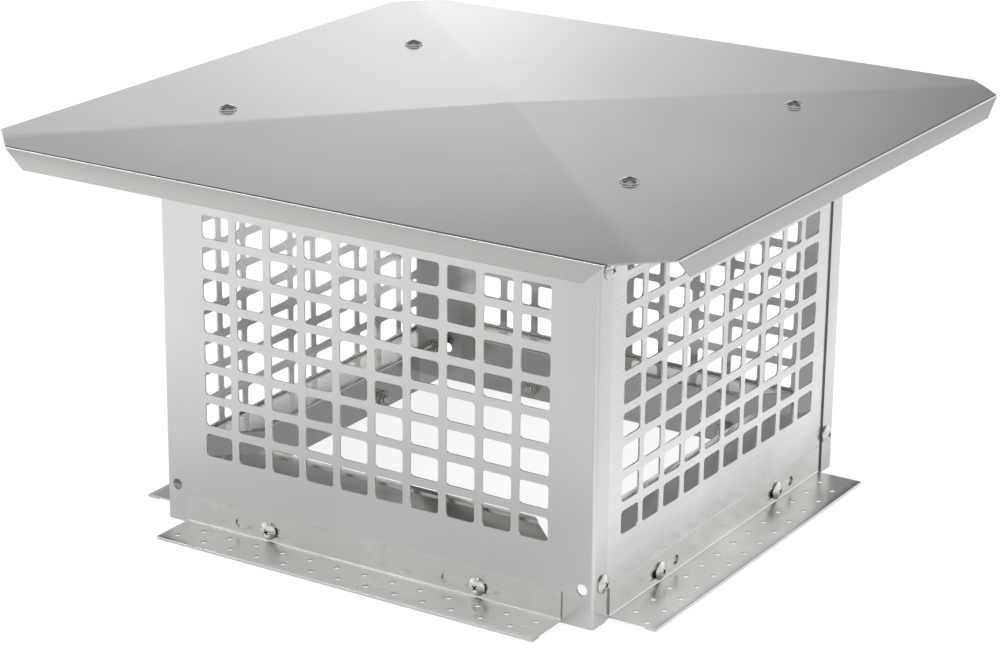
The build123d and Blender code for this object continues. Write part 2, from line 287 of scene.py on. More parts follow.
class Sheet:
    """Builds a punched and folded sheet as a closed skin, from cells of its flat pattern."""

    def __init__(self, to_world, depth):
        self.to_world = to_world
        self.depth = depth
        self.points = []
        self.index = {}
        self.faces = []

    def vertex(self, u, v, depth):
        key = tuple(round(value, SHEET_DIGITS) for value in (u, v, depth))
        if key not in self.index:
            self.index[key] = len(self.points)
            self.points.append(self.to_world(u, v, depth))
        return self.index[key]

    def face(self, corners, depth, flip):
        loop = distinct(self.vertex(u, v, depth) for u, v in corners)
        if len(loop) > 2:
            self.faces.append(loop[::-1] if flip else loop)

    def both_faces(self, corners):
        self.face(corners, 0.0, False)
        self.face(corners, self.depth, True)

    def wall(self, a, b):
        """Cut edge of the sheet from a to b, with the material on the left of that way."""
        quad = [
            self.vertex(*a, 0.0), self.vertex(*a, self.depth), self.vertex(*b, self.depth), self.vertex(*b, 0.0),
        ]
        if len(set(quad)) == 4:
            self.faces.append(quad)

    def plain_cell(self, low_u, high_u, low_v, high_v):
        self.both_faces([(low_u, low_v), (high_u, low_v), (high_u, high_v), (low_u, high_v)])

    def punched_cell(self, low_u, high_u, low_v, high_v, arcs, centre=None):
        middle = centre or ((low_u + high_u) / 2, (low_v + high_v) / 2)
        corners = [(high_u, high_v), (low_u, high_v), (low_u, low_v), (high_u, low_v)]
        loops = [[(middle[0] + p.x, middle[1] + p.y) for p in arc] for arc in arcs]
        for k, arc in enumerate(loops):
            following = loops[(k + 1) % 4]
            for a, b in zip(arc, arc[1:]):
                self.both_faces([corners[k], b, a])
                self.wall(b, a)
            self.both_faces([corners[k], corners[(k + 1) % 4], following[0], arc[-1]])
            if (Vector(following[0]) - Vector(arc[-1])).length > ROUND_OFF:
                self.wall(following[0], arc[-1])

    def grid(self, us, vs, punched=None, absent=None, open_low=False, open_high=False):
        """Cells between lines across the flat pattern. Either end of u may be left open, to join another grid."""
        punched = punched or {}
        absent = absent or set()
        last_u, last_v = len(us) - 2, len(vs) - 2

        def missing(i, j):
            return i < 0 or j < 0 or i > last_u or j > last_v or (i, j) in absent

        for i in range(len(us) - 1):
            for j in range(len(vs) - 1):
                if missing(i, j):
                    continue
                box = (us[i], us[i + 1], vs[j], vs[j + 1])
                if (i, j) in punched:
                    arcs, centre = punched[(i, j)]
                    self.punched_cell(*box, arcs, centre)
                else:
                    self.plain_cell(*box)
                if missing(i - 1, j) and not (i == 0 and open_low):
                    self.wall((box[0], box[3]), (box[0], box[2]))
                if missing(i + 1, j) and not (i == last_u and open_high):
                    self.wall((box[1], box[2]), (box[1], box[3]))
                if missing(i, j - 1):
                    self.wall((box[0], box[2]), (box[1], box[2]))
                if missing(i, j + 1):
                    self.wall((box[1], box[3]), (box[0], box[3]))

    def build(self, name, material, nodes, turn):
        mesh = new_mesh(name, self.points, self.faces)
        mesh.transform(Matrix.Rotation(math.radians(turn), 4, "Z"))
        return finish_piece(name, mesh, material, nodes)


def new_mesh(name, points, faces):
    mesh = bpy.data.meshes.new(name)
    mesh.from_pydata([tuple(point) for point in points], [], faces)
    return mesh


def add_object(name, data):
    thing = bpy.data.objects.new(name, data)
    bpy.context.scene.collection.objects.link(thing)
    return thing


def outward(mesh):
    skin = bmesh.new()
    skin.from_mesh(mesh)
    bmesh.ops.recalc_face_normals(skin, faces=skin.faces)
    skin.to_mesh(mesh)
    skin.free()


def finish_piece(name, mesh, material, nodes, smooth_angle=35.0):
    outward(mesh)
    mesh.validate()
    for polygon in mesh.polygons:
        polygon.use_smooth = True
    mesh.set_sharp_from_angle(angle=math.radians(smooth_angle))
    mesh.materials.append(material)
    piece = add_object(name, mesh)
    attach(piece, "root")
    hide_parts(*nodes)
    return piece


# Materials

def feed(links, value, socket):
    """Sets a socket to a number, or links another node's output to it."""
    if isinstance(value, float):
        socket.default_value = value
    else:
        links.new(value, socket)


def calculated(nodes, links, operation, *values):
    """Output of a Math node."""
    node = nodes.new("ShaderNodeMath")
    node.operation = operation
    for value, socket in zip(values, node.inputs):
        feed(links, value, socket)
    return node.outputs["Value"]


def noise(nodes, links, vector, scale, detail, roughness=0.5, distortion=0.0):
    """Output of a noise texture."""
    texture = nodes.new("ShaderNodeTexNoise")
    texture.inputs["Scale"].default_value = scale
    texture.inputs["Detail"].default_value = detail
    texture.inputs["Roughness"].default_value = roughness
    texture.inputs["Distortion"].default_value = distortion
    links.new(vector, texture.inputs["Vector"])
    return texture.outputs["Fac"]


def bump(nodes, links, height, strength, distance):
    node = nodes.new("ShaderNodeBump")
    node.inputs["Strength"].default_value = strength
    node.inputs["Distance"].default_value = distance
    links.new(height, node.inputs["Height"])
    return node


def stainless(name, tint, dark, rough, line_axis, grain, cloud_scale, wave_height, smear=0.055):
    """Cold-rolled stainless sheet: fine rolling lines along one axis, cloudy smears and slight waves."""
    material = bpy.data.materials.new(name)
    material.use_nodes = True
    nodes, links = material.node_tree.nodes, material.node_tree.links
    shader = nodes["Principled BSDF"]
    shader.inputs["Metallic"].default_value = 1.0
    place = nodes.new("ShaderNodeTexCoord").outputs["Object"]

    stretch = nodes.new("ShaderNodeMapping")
    scale = [LINE_SCALE] * 3
    scale[line_axis] = LINE_SCALE_ALONG
    stretch.inputs["Scale"].default_value = scale
    links.new(place, stretch.inputs["Vector"])
    lines = noise(nodes, links, stretch.outputs["Vector"], 1.0, LINE_DETAIL, LINE_ROUGHNESS)
    cloud = noise(nodes, links, place, cloud_scale, CLOUD_DETAIL, CLOUD_ROUGHNESS, CLOUD_DISTORTION)
    blend = calculated(nodes, links, "MULTIPLY_ADD", lines, grain, cloud)
    low, high = (cloud_end + line_end * grain for cloud_end, line_end in zip(CLOUD_SPAN, LINE_SPAN))

    colour = nodes.new("ShaderNodeValToRGB")
    for stop, position, shade in zip(colour.color_ramp.elements, (low, high), (dark, tint)):
        stop.position = position
        stop.color = (*shade, 1.0)
    links.new(blend, colour.inputs["Fac"])
    links.new(colour.outputs["Color"], shader.inputs["Base Color"])

    gloss = nodes.new("ShaderNodeMapRange")
    gloss.inputs["From Min"].default_value = low
    gloss.inputs["From Max"].default_value = high
    gloss.inputs["To Min"].default_value = rough + smear
    gloss.inputs["To Max"].default_value = rough - smear
    links.new(blend, gloss.inputs["Value"])
    links.new(gloss.outputs["Result"], shader.inputs["Roughness"])

    scratches = bump(nodes, links, lines, SCRATCH_STRENGTH, SCRATCH_HEIGHT)
    waves = bump(nodes, links, noise(nodes, links, place, WAVE_SCALE, WAVE_DETAIL), 1.0, wave_height)
    links.new(scratches.outputs["Normal"], waves.inputs["Normal"])
    links.new(waves.outputs["Normal"], shader.inputs["Normal"])
    return material


def tone_marked(material, mark, colour):
    """Paints shade: gives a darker colour to the faces that mark_faces has marked."""
    nodes, links = material.node_tree.nodes, material.node_tree.links
    base = nodes["Principled BSDF"].inputs["Base Color"]
    attribute = nodes.new("ShaderNodeAttribute")
    attribute.attribute_name = mark
    mix = nodes.new("ShaderNodeMix")
    mix.data_type = "RGBA"
    links.new(attribute.outputs["Fac"], mix.inputs["Factor"])
    links.new(base.links[0].from_socket, mix.inputs[MIX_COLOUR_A])
    mix.inputs[MIX_COLOUR_B].default_value = (*colour, 1.0)
    links.new(mix.outputs[MIX_COLOUR_RESULT], base)


def mark_faces(mesh, mark, chosen):
    """Marks the polygons that pass a test, for a painted-shade colour in their material."""
    values = [1.0 if chosen(polygon) else 0.0 for polygon in mesh.polygons]
    mesh.attributes.new(mark, "FLOAT", "FACE").data.foreach_set("value", values)


LID_METAL = stainless(
    "lid_metal", (0.633, 0.631, 0.624), (0.612, 0.610, 0.602), rough=0.14, line_axis=0, grain=0.10,
    cloud_scale=6.0, wave_height=0.000004, smear=0.01,
)
FRONT_METAL = stainless(
    "front_metal", (0.76, 0.766, 0.745), (0.72, 0.726, 0.705), rough=0.22, line_axis=2, grain=0.08,
    cloud_scale=7.0, wave_height=0.00004,
)
BACK_METAL = stainless(
    "back_metal", (0.75, 0.74, 0.725), (0.70, 0.69, 0.675), rough=0.24, line_axis=2, grain=0.08,
    cloud_scale=7.0, wave_height=0.00004,
)
SIDE_METAL = stainless(
    "side_metal", (0.84, 0.84, 0.835), (0.72, 0.72, 0.715), rough=0.20, line_axis=1, grain=0.60,
    cloud_scale=8.0, wave_height=0.00004,
)
LEDGE_METAL = stainless(
    "ledge_metal", (0.66, 0.652, 0.635), (0.60, 0.592, 0.575), rough=0.14, line_axis=0, grain=0.15,
    cloud_scale=12.0, wave_height=0.00005,
)
# Painted light: a lighter copy of the ledge metal, used for the right ledge only, as if it were lit more than the
# other three.
PAINTED_LIGHT_LEDGE_METAL = stainless(
    "painted_light_ledge_metal", (0.85, 0.845, 0.835), (0.80, 0.795, 0.785), rough=0.16, line_axis=0, grain=0.15,
    cloud_scale=12.0, wave_height=0.00005,
)
FLANGE_METAL = stainless(
    "flange_metal", (0.80, 0.795, 0.78), (0.74, 0.735, 0.72), rough=0.30, line_axis=0, grain=0.20,
    cloud_scale=12.0, wave_height=0.00003,
)
SCREW_METAL = stainless(
    "screw_metal", (0.78, 0.77, 0.75), (0.68, 0.66, 0.64), rough=0.10, line_axis=2, grain=0.20,
    cloud_scale=240.0, wave_height=0.000005,
)
NUT_METAL = stainless(
    "nut_metal", (0.66, 0.64, 0.60), (0.50, 0.48, 0.44), rough=0.24, line_axis=2, grain=0.20,
    cloud_scale=240.0, wave_height=0.000005,
)
# Painted shade: the lid's rim gets a darker colour than its slopes, though both are the same sheet.
tone_marked(LID_METAL, "rim", (0.57, 0.565, 0.55))
# Painted shade: the cut edges of the wall returns and of the base flanges' legs are coloured dark, standing in for
# the shadow along them.
tone_marked(FRONT_METAL, "painted_edge_shade", (0.16, 0.155, 0.15))
tone_marked(BACK_METAL, "painted_edge_shade", (0.16, 0.155, 0.15))
tone_marked(FLANGE_METAL, "painted_edge_shade", (0.36, 0.355, 0.35))
# Painted shade: the cross recesses of the screw heads are coloured nearly black.
tone_marked(SCREW_METAL, "recess_painted_shade", (0.05, 0.047, 0.042))


# Walls

def column_lines(half_length):
    inner = [(k - COLUMNS / 2) * COLUMN_PITCH for k in range(COLUMNS + 1)]
    return [-half_length] + inner + [half_length]


def row_lines():
    return [GRILLE_CENTRE + (k - ROWS / 2) * ROW_PITCH for k in range(ROWS + 1)]


def lid_under(x, y):
    """Height of the lid's underside over a point."""
    across = (SLOPE_ACROSS - abs(x)) / SLOPE_ACROSS
    along = (SLOPE_ALONG - abs(y)) / SLOPE_ALONG
    return LID_FOLD - SHEET + LID_RISE * min(across, along)


def channel_wall(name, nodes, turn, metal):
    """Front or back wall: punched face with a return folded round each corner."""
    across = SIDE_FACE + SHEET
    flat = 2 * (across - WALL_BEND)
    side = FRONT_FACE - RETURN_EDGE - WALL_BEND
    section = Section((-across, -RETURN_EDGE), -90).straight(side).bend(WALL_BEND, 90)
    section.straight(flat).bend(WALL_BEND, 90).straight(side)
    middle = section.length / 2
    us = [u for u in section.cuts if u < middle - flat / 2 + ROUND_OFF]
    us += [middle + (k - COLUMNS / 2) * COLUMN_PITCH for k in range(COLUMNS + 1)]
    us += [u for u in section.cuts if u > middle + flat / 2 - ROUND_OFF]
    vs = [0.0] + row_lines() + [WALL_TOP]
    grille_edge = middle - COLUMNS / 2 * COLUMN_PITCH
    first_column = next(i for i, u in enumerate(us) if abs(u - grille_edge) < ROUND_OFF)
    opening = rounded_loop(OPENING_WIDTH, OPENING_HEIGHT, OPENING_CORNER)
    corner_hole = rounded_loop(CORNER_HOLE, CORNER_HOLE, CORNER_HOLE / 2)
    punched = {}
    for column in range(COLUMNS):
        for row in range(ROWS):
            punched[(first_column + column, row + 1)] = (opening, None)
    hole_across = SIDE_FACE - CORNER_HOLE_INSET
    punched[(first_column - 1, 0)] = (corner_hole, (middle - hole_across, CORNER_HOLE_HEIGHT))
    punched[(first_column + COLUMNS, 0)] = (corner_hole, (middle + hole_across, CORNER_HOLE_HEIGHT))

    def to_world(u, v, depth):
        spot = section.place(u, -depth)
        height = min(v, lid_under(spot.x, spot.y))
        return Vector((spot.x, spot.y, height))

    sheet = Sheet(to_world, SHEET)
    sheet.grid(us, vs, punched)
    wall = sheet.build(name, metal, nodes, turn)
    # Marks the returns' cut edges for a painted shade.
    mark_faces(wall.data, "painted_edge_shade", lambda polygon: abs(abs(polygon.center.y) - RETURN_EDGE) < MARK_REACH)


def flat_wall(name, nodes, turn):
    """Right or left wall: punched sheet with a flange folded in under the lid."""
    top = lid_under(SIDE_FACE, 0.0)
    slope = math.degrees(math.atan2(LID_RISE, SLOPE_ACROSS))
    flange = SIDE_FACE - TOP_FLANGE_LOW.x - WALL_BEND
    half_length = SIDE_HIGH.y
    half_flange = TOP_FLANGE_HIGH.y
    section = Section((SIDE_FACE, 0.0), 90).straight(top - WALL_BEND).bend(WALL_BEND, 90 - slope)
    section.straight(flange)
    us = [0.0] + row_lines() + section.cuts[1:]
    vs = column_lines(half_length)
    vs = sorted(vs + [-half_flange, half_flange])
    opening = rounded_loop(OPENING_HEIGHT, OPENING_WIDTH, OPENING_CORNER)
    punched = {(row + 1, column + 2): (opening, None) for row in range(ROWS) for column in range(COLUMNS)}
    # Left out: bend and flange at both ends of the wall
    absent = {(i, j) for i in range(ROWS + 2, len(us)) for j in (0, len(vs) - 2)}

    def to_world(u, v, depth):
        spot = section.place(u, -depth)
        return Vector((spot.x, -v, spot.y))

    sheet = Sheet(to_world, SHEET)
    sheet.grid(us, vs, punched, absent)
    sheet.build(name, SIDE_METAL, nodes, turn)


# Lid

def rim_profile(drop):
    """Out from a slope's edge, round the bend and down the rim: (distance beyond the slope, height)."""
    radius = RIM_BEND - drop
    profile = []
    for step in range(RIM_STEPS + 1):
        angle = math.radians(90 * step / RIM_STEPS)
        profile.append((radius * math.sin(angle), LID_FOLD - RIM_BEND + radius * math.cos(angle)))
    profile.append((radius, LID_FOLD - RIM_DEPTH))
    return profile


class LidSlope:
    """One slope of the lid with its rim, in its own plan: t along the fold and out towards it."""

    def __init__(self, world, slope_out, slope_side):
        self.world = world
        self.slope_out = slope_out
        self.slope_side = slope_side
        self.clip = LID_HIGH.x + LID_HIGH.y - CORNER_CLIP
        self.fold_end = self.clip - slope_out
        self.ridge_end = self.clip / (slope_out + slope_side)
        self.faces = []

    def half_width(self, ring):
        return min(self.slope_side * ring, self.clip - self.slope_out * ring)

    def on_plate(self, ring, across, drop):
        height = LID_FOLD + LID_RISE * (1 - ring) - drop
        return self.world(across * self.half_width(ring), self.slope_out * ring, height)

    def on_rim(self, spot, side):
        beyond, height = spot
        reach = (RIM_DEPTH + RIM_BEND) / RIM_DEPTH
        t = min(self.fold_end - beyond, self.fold_end - reach * (LID_FOLD - height))
        return self.world(side * t, self.slope_out + beyond, height)

    def quad(self, corners, flip):
        self.faces.append(corners[::-1] if flip else corners)

    def plate(self):
        rings = sorted([k / LID_STEPS for k in range(LID_STEPS + 1)] + [self.ridge_end])
        cuts = [2 * k / LID_STEPS - 1 for k in range(LID_STEPS + 1)]
        for near, far in zip(rings, rings[1:]):
            for drop, flip in ((0.0, False), (SHEET, True)):
                for a, b in zip(cuts, cuts[1:]):
                    quad = [(far, a), (far, b), (near, b), (near, a)]
                    self.quad([self.on_plate(ring, across, drop) for ring, across in quad], flip)
            if near >= self.ridge_end - ROUND_OFF:
                for side in (-1, 1):
                    edge = [(near, 0.0), (near, SHEET), (far, SHEET), (far, 0.0)]
                    self.quad([self.on_plate(ring, side, drop) for ring, drop in edge], side < 0)

    def rim(self):
        outer, inner = rim_profile(0.0), rim_profile(SHEET)
        for profile, flip in ((outer, False), (inner, True)):
            for a, b in zip(profile, profile[1:]):
                corners = [self.on_rim(b, -1), self.on_rim(b, 1), self.on_rim(a, 1), self.on_rim(a, -1)]
                self.quad(corners, flip)
        for side in (-1, 1):
            for a1, b1, a2, b2 in zip(outer, outer[1:], inner, inner[1:]):
                corners = [self.on_rim(spot, side) for spot in (a1, a2, b2, b1)]
                self.quad(corners, side < 0)
        ends = [(outer[-1], -1), (inner[-1], -1), (inner[-1], 1), (outer[-1], 1)]
        self.quad([self.on_rim(spot, side) for spot, side in ends], False)


def lid_piece():
    points, faces, index = [], [], {}
    slopes = (
        LidSlope(lambda t, out, z: (t, -out, z), SLOPE_ALONG, SLOPE_ACROSS),
        LidSlope(lambda t, out, z: (out, t, z), SLOPE_ACROSS, SLOPE_ALONG),
        LidSlope(lambda t, out, z: (-t, out, z), SLOPE_ALONG, SLOPE_ACROSS),
        LidSlope(lambda t, out, z: (-out, -t, z), SLOPE_ACROSS, SLOPE_ALONG),
    )

    def number_of(corner):
        key = tuple(round(value, LID_DIGITS) for value in corner)
        if key not in index:
            index[key] = len(points)
            points.append(key)
        return index[key]

    for slope in slopes:
        slope.plate()
        slope.rim()
        loops = (distinct(number_of(corner) for corner in face) for face in slope.faces)
        faces += [loop for loop in loops if len(loop) > 2]
    mesh = new_mesh("lid_sheet", points, faces)
    # Marks the rim, which is painted darker as shade.
    mark_faces(mesh, "rim", lambda polygon: polygon.center.z < LID_FOLD - RIM_BEND)
    finish_piece("lid_sheet", mesh, LID_METAL, ["lid"], smooth_angle=15.0)


# Angles along the foot of the walls

def slotted_leg(sheet, leg, half):
    """Upright leg of a base flange, up to its bend, with a slot for each of its two screws."""
    middle = FLANGE_LEG - SCREW_HEIGHT
    radius = SLOT_WIDTH / 2
    slot_low, slot_high = middle - radius, middle + radius
    straight = (SLOT_LENGTH - SLOT_WIDTH) / 2
    centres = [side * SCREW_SPACING / 2 for side in (-1, 1)]
    across = [-half, half]
    for centre in centres:
        far = straight + SLOT_END_CELL
        across += [centre - far, centre - straight, centre + straight, centre + far]
    # Left out: both slots, and the cells at their ends, which follow below with a round cut
    absent = {(1, j) for j in (1, 2, 3, 5, 6, 7)}
    sheet.grid([0.0, slot_low, slot_high, leg], sorted(across), absent=absent, open_high=True)
    for centre in centres:
        for way in (-1, 1):
            base = centre + way * straight
            far = base + way * SLOT_END_CELL
            arc = []
            for step in range(SLOT_END_STEPS + 1):
                angle = math.radians(180 * step / SLOT_END_STEPS)
                arc.append((middle - radius * math.cos(angle), base + way * radius * math.sin(angle)))
            outline = arc + [(slot_high, far), (slot_low, far)]
            sheet.both_faces(outline if way < 0 else outline[::-1])
            for a, b in zip(arc, arc[1:]):
                sheet.wall(*((a, b) if way < 0 else (b, a)))


def nailed_foot(sheet, section, leg, half, hole_shift):
    """Bend, foot and hem of a base flange, with two rows of nail holes."""
    first_row = leg + STRIP_BEND * math.pi / 2 + NAIL_ROW_INSET - STRIP_BEND
    rows = ((first_row, 0.0), (first_row + NAIL_ROW_SPACING, -NAIL_PITCH / 2))
    us = {leg} | {u for u in section.cuts if u > leg + ROUND_OFF}
    us = sorted(us | {row + side * NAIL_HOLE for row, offset in rows for side in (-1, 1)})
    cells = int(half / (NAIL_PITCH / 2)) + 2
    vs = [hole_shift + (k + 0.5) * NAIL_PITCH / 2 for k in range(-cells, cells)]
    vs = [-half] + [v for v in vs if abs(v) < half - ROUND_OFF] + [half]
    hole = rounded_loop(NAIL_HOLE, NAIL_HOLE, NAIL_HOLE / 2)
    punched = {}
    for row, offset in rows:
        i = next(k for k, u in enumerate(us) if abs(u - (row - NAIL_HOLE)) < ROUND_OFF)
        for k in range(NAIL_HOLES):
            v = hole_shift + offset + (k - (NAIL_HOLES - 1) / 2) * NAIL_PITCH
            j = next(m for m in range(len(vs) - 1) if vs[m] < v < vs[m + 1])
            punched[(i, j)] = (hole, (row, v))
    sheet.grid(us, vs, punched, open_low=True)


def flange_strip(name, node, face, turn, shift=0.0, hole_shift=0.0):
    """Base flange: an angle outside a wall, with its far edge hemmed under."""
    low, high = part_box(node)
    half = max(high.x - low.x, high.y - low.y) / 2
    leg = FLANGE_LEG - SHEET - STRIP_BEND
    section = Section((-face, FLANGE_LEG), -90).straight(leg).bend(STRIP_BEND, -90)
    section.straight(FLANGE_REACH - STRIP_BEND - SHEET).bend(0.0, 180).straight(FLANGE_HEM - SHEET)

    def to_world(u, v, depth):
        spot = section.place(u, depth)
        return Vector((shift + v, spot.x, spot.y))

    sheet = Sheet(to_world, SHEET)
    slotted_leg(sheet, leg, half)
    nailed_foot(sheet, section, leg, half, hole_shift)
    strip = sheet.build(name, FLANGE_METAL, [node], turn)
    leg_middle = face + SHEET / 2

    def upright_edge(polygon):
        spot = polygon.center
        on_leg = min(abs(abs(spot.x) - leg_middle), abs(abs(spot.y) - leg_middle)) < MARK_REACH
        return on_leg and spot.z > STRIP_BEND + SHEET and abs(polygon.normal.z) < MARK_SLANT

    # Marks the cut edges of the leg, its slot ends among them, for a painted shade.
    mark_faces(strip.data, "painted_edge_shade", upright_edge)


def ledge_strip(name, node, face, turn, metal):
    """Ledge: an angle inside a wall, with mitred ends and its far edge hemmed over."""
    low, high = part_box(node)
    half = max(high.x - low.x, high.y - low.y) / 2
    section = Section((-face, 0.0), 90).straight(LEDGE_HEIGHT - STRIP_BEND).bend(STRIP_BEND, -90)
    section.straight(LEDGE_WIDTH - STRIP_BEND - SHEET).bend(0.0, 180).straight(LEDGE_HEM - SHEET)

    def to_world(u, v, depth):
        spot = section.place(u, depth)
        limit = half - max(0.0, spot.x + face - SHEET)
        return Vector((v * limit / half, spot.x, spot.y))

    sheet = Sheet(to_world, SHEET)
    sheet.grid(section.cuts, [half * (2 * k / LEDGE_CELLS - 1) for k in range(LEDGE_CELLS + 1)])
    sheet.build(name, metal, [node], turn)


# Fasteners

def lathe(profile, points, faces, place):
    """Adds a closed turned body. The profile runs from the axis, round the outside and back to the axis."""
    rings = []
    for radius, height in profile:
        if radius < ROUND_OFF:
            rings.append([len(points)])
            points.append(place @ Vector((0.0, 0.0, height)))
            continue
        ring = []
        for k in range(SCREW_STEPS):
            angle = 2 * math.pi * k / SCREW_STEPS
            ring.append(len(points))
            points.append(place @ Vector((radius * math.cos(angle), radius * math.sin(angle), height)))
        rings.append(ring)
    for low, high in zip(rings, rings[1:]):
        for k in range(SCREW_STEPS):
            a, b = low[k % len(low)], low[(k + 1) % len(low)]
            c, d = high[(k + 1) % len(high)], high[k % len(high)]
            faces.append(distinct((a, b, c, d)))


def dome_height(radius):
    """Height of the round crown of a head over its seat."""
    rise = HEAD_HEIGHT - HEAD_RIM
    sphere = ((HEAD / 2) ** 2 + rise ** 2) / (2 * rise)
    return HEAD_HEIGHT - sphere + math.sqrt(sphere ** 2 - radius ** 2)


def head_profile():
    """Rim that tucks in at the seat, and round crown of a head."""
    profile = [(HEAD / 2 - HEAD_TUCK, 0.0), (HEAD / 2, HEAD_TUCK), (HEAD / 2, HEAD_RIM)]
    for step in range(1, CROWN_STEPS):
        radius = HEAD / 2 * (1 - step / CROWN_STEPS)
        profile.append((radius, dome_height(radius)))
    return profile + [(0.0, HEAD_HEIGHT)]


def screw_mesh(spots, grip):
    """Screws with domed heads and threaded shanks."""
    points, faces = [], []
    shank = SHANK / 2
    length = grip + NUT_HEIGHT + SCREW_END
    profile = [(0.0, -length), (shank - SHANK_POINT, -length)]
    for k in range(int((length - THREAD_START) / THREAD_PITCH)):
        low = -length + THREAD_START + k * THREAD_PITCH
        profile += [(shank - THREAD_DEPTH, low), (shank, low + THREAD_PITCH / 2)]
    profile += [(shank - SHANK_NECK, 0.0)] + head_profile()
    for spot in spots:
        lathe(profile, points, faces, spot)
    return new_mesh("screws", points, faces)


def cross_cutter(spots):
    """Tapered crosses that are cut into the heads, each turned a little further than the one before."""
    points, faces = [], []
    corners = ((1, 1), (-1, 1), (-1, -1), (1, -1))
    top, foot = HEAD_HEIGHT + RECESS_OVERCUT, HEAD_HEIGHT - RECESS_DEPTH
    foot_arm, foot_half_width = RECESS_ARM * RECESS_FOOT_SHARES[0], RECESS_HALF_WIDTH * RECESS_FOOT_SHARES[1]
    for number, spot in enumerate(spots):
        for turn in (0.0, 90.0):
            start = len(points)
            angle = turn + RECESS_TURN + RECESS_TURN_STEP * number
            rotate = spot @ Matrix.Rotation(math.radians(angle), 4, "Z")
            points += [rotate @ Vector((x * RECESS_ARM, y * RECESS_HALF_WIDTH, top)) for x, y in corners]
            points += [rotate @ Vector((x * foot_arm, y * foot_half_width, foot)) for x, y in corners]
            faces.append([start, start + 1, start + 2, start + 3])
            faces.append([start + 7, start + 6, start + 5, start + 4])
            for k in range(4):
                faces.append([start + k, start + 4 + k, start + 4 + (k + 1) % 4, start + (k + 1) % 4])
    return new_mesh("cross", points, faces)


def cut(mesh, cutter):
    """The mesh less the cutter."""
    outward(mesh)
    outward(cutter)
    blank, tool = add_object(mesh.name, mesh), add_object(cutter.name, cutter)
    boolean = blank.modifiers.new("cut", "BOOLEAN")
    boolean.operation = "DIFFERENCE"
    boolean.solver = "EXACT"
    boolean.use_self = True
    boolean.object = tool
    bpy.context.view_layer.update()
    result = bpy.data.meshes.new_from_object(blank.evaluated_get(bpy.context.evaluated_depsgraph_get()))
    for item in (blank, tool):
        bpy.data.objects.remove(item)
    return result


def in_recess(spots):
    """Test of whether a polygon lies in the cross of one of the heads."""
    head_frames = [spot.inverted() for spot in spots]

    def inside(polygon):
        local = min((head_frame @ polygon.center for head_frame in head_frames), key=lambda point: point.length)
        radius = math.hypot(local.x, local.y)
        return radius < RECESS_ARM and 0 < local.z < dome_height(radius) - RECESS_MARGIN

    return inside


def screws(name, node, spots, grip):
    mesh = cut(screw_mesh(spots, grip), cross_cutter(spots))
    # Marks the faces inside the crosses for a painted shade.
    mark_faces(mesh, "recess_painted_shade", in_recess(spots))
    finish_piece(name, mesh, SCREW_METAL, [node], smooth_angle=38.0)


def nuts(name, node, spots, grip):
    points, faces = [], []
    flats = NUT_FLATS / 2
    face_edge = flats * NUT_FACE_SHARE
    corner = flats / math.cos(math.pi / 6)
    bore = SHANK / 2 + NUT_PLAY
    top, foot = -grip, -grip - NUT_HEIGHT
    levels = (
        (bore, top), (face_edge, top), (corner, top - NUT_CHAMFER),
        (corner, foot + NUT_CHAMFER), (face_edge, foot), (bore, foot),
    )
    for spot in spots:
        rings = []
        for radius, height in levels:
            ring = []
            for k in range(NUT_STEPS):
                angle = 2 * math.pi * k / NUT_STEPS
                near_flat = (angle + math.pi / 6) % (math.pi / 3) - math.pi / 6
                hexagon = flats / math.cos(math.pi / 6 - abs(near_flat))
                reach = radius if radius <= flats else min(radius, hexagon)
                ring.append(len(points))
                points.append(spot @ Vector((reach * math.cos(angle), reach * math.sin(angle), height)))
            rings.append(ring)
        for low, high in zip(rings, rings[1:] + rings[:1]):
            for k in range(NUT_STEPS):
                following = (k + 1) % NUT_STEPS
                faces.append([low[k], high[k], high[following], low[following]])
    mesh = new_mesh(name, points, faces)
    finish_piece(name, mesh, NUT_METAL, [node], smooth_angle=25.0)


def facing(place, away):
    """Matrix of a fastener that stands on a face, its head pointing away from it."""
    turn = Vector(away).to_track_quat("Z", "Y").to_matrix().to_4x4()
    return Matrix.Translation(place) @ turn


def fasteners():
    walls = (
        ("front", FRONT_FACE, 0.0), ("right", SIDE_FACE, 90.0),
        ("back", FRONT_FACE, 180.0), ("left", SIDE_FACE, -90.0),
    )
    for wall, face, turn in walls:
        rotate = Matrix.Rotation(math.radians(turn), 4, "Z")
        spots = [
            rotate @ facing((side * SCREW_SPACING / 2, -face - SHEET, SCREW_HEIGHT), (0, -1, 0)) for side in (-1, 1)
        ]
        screws(wall + "_foot_screws", wall + "_base_screws", spots, 3 * SHEET)
        nuts(wall + "_foot_nuts", wall + "_base_nuts", spots, 3 * SHEET)
    for name, side in (("left", -1), ("right", 1)):
        spots = [
            facing((side * (SIDE_FACE + SHEET), end * (FRONT_FACE - CORNER_SCREW_INSET), height), (side, 0, 0))
            for end in (-1, 1)
            for height in CORNER_SCREW_HEIGHTS
        ]
        screws(name + "_edge_screws", name + "_corner_screws", spots, 2 * SHEET)
        nuts(name + "_edge_nuts", name + "_corner_nuts", spots, 2 * SHEET)
    slope = LID_RISE / SLOPE_ACROSS
    height = LID_FOLD + slope * (SLOPE_ACROSS - LID_SCREW_ACROSS)
    spots = [
        facing((side * LID_SCREW_ACROSS, end * LID_SCREW_ALONG, height), (side * slope, 0, 1))
        for side in (-1, 1)
        for end in (-1, 1)
    ]
    screws("lid_top_screws", "lid_screws", spots, 2 * SHEET)
    nuts("lid_under_nuts", "lid_nuts", spots, 2 * SHEET)


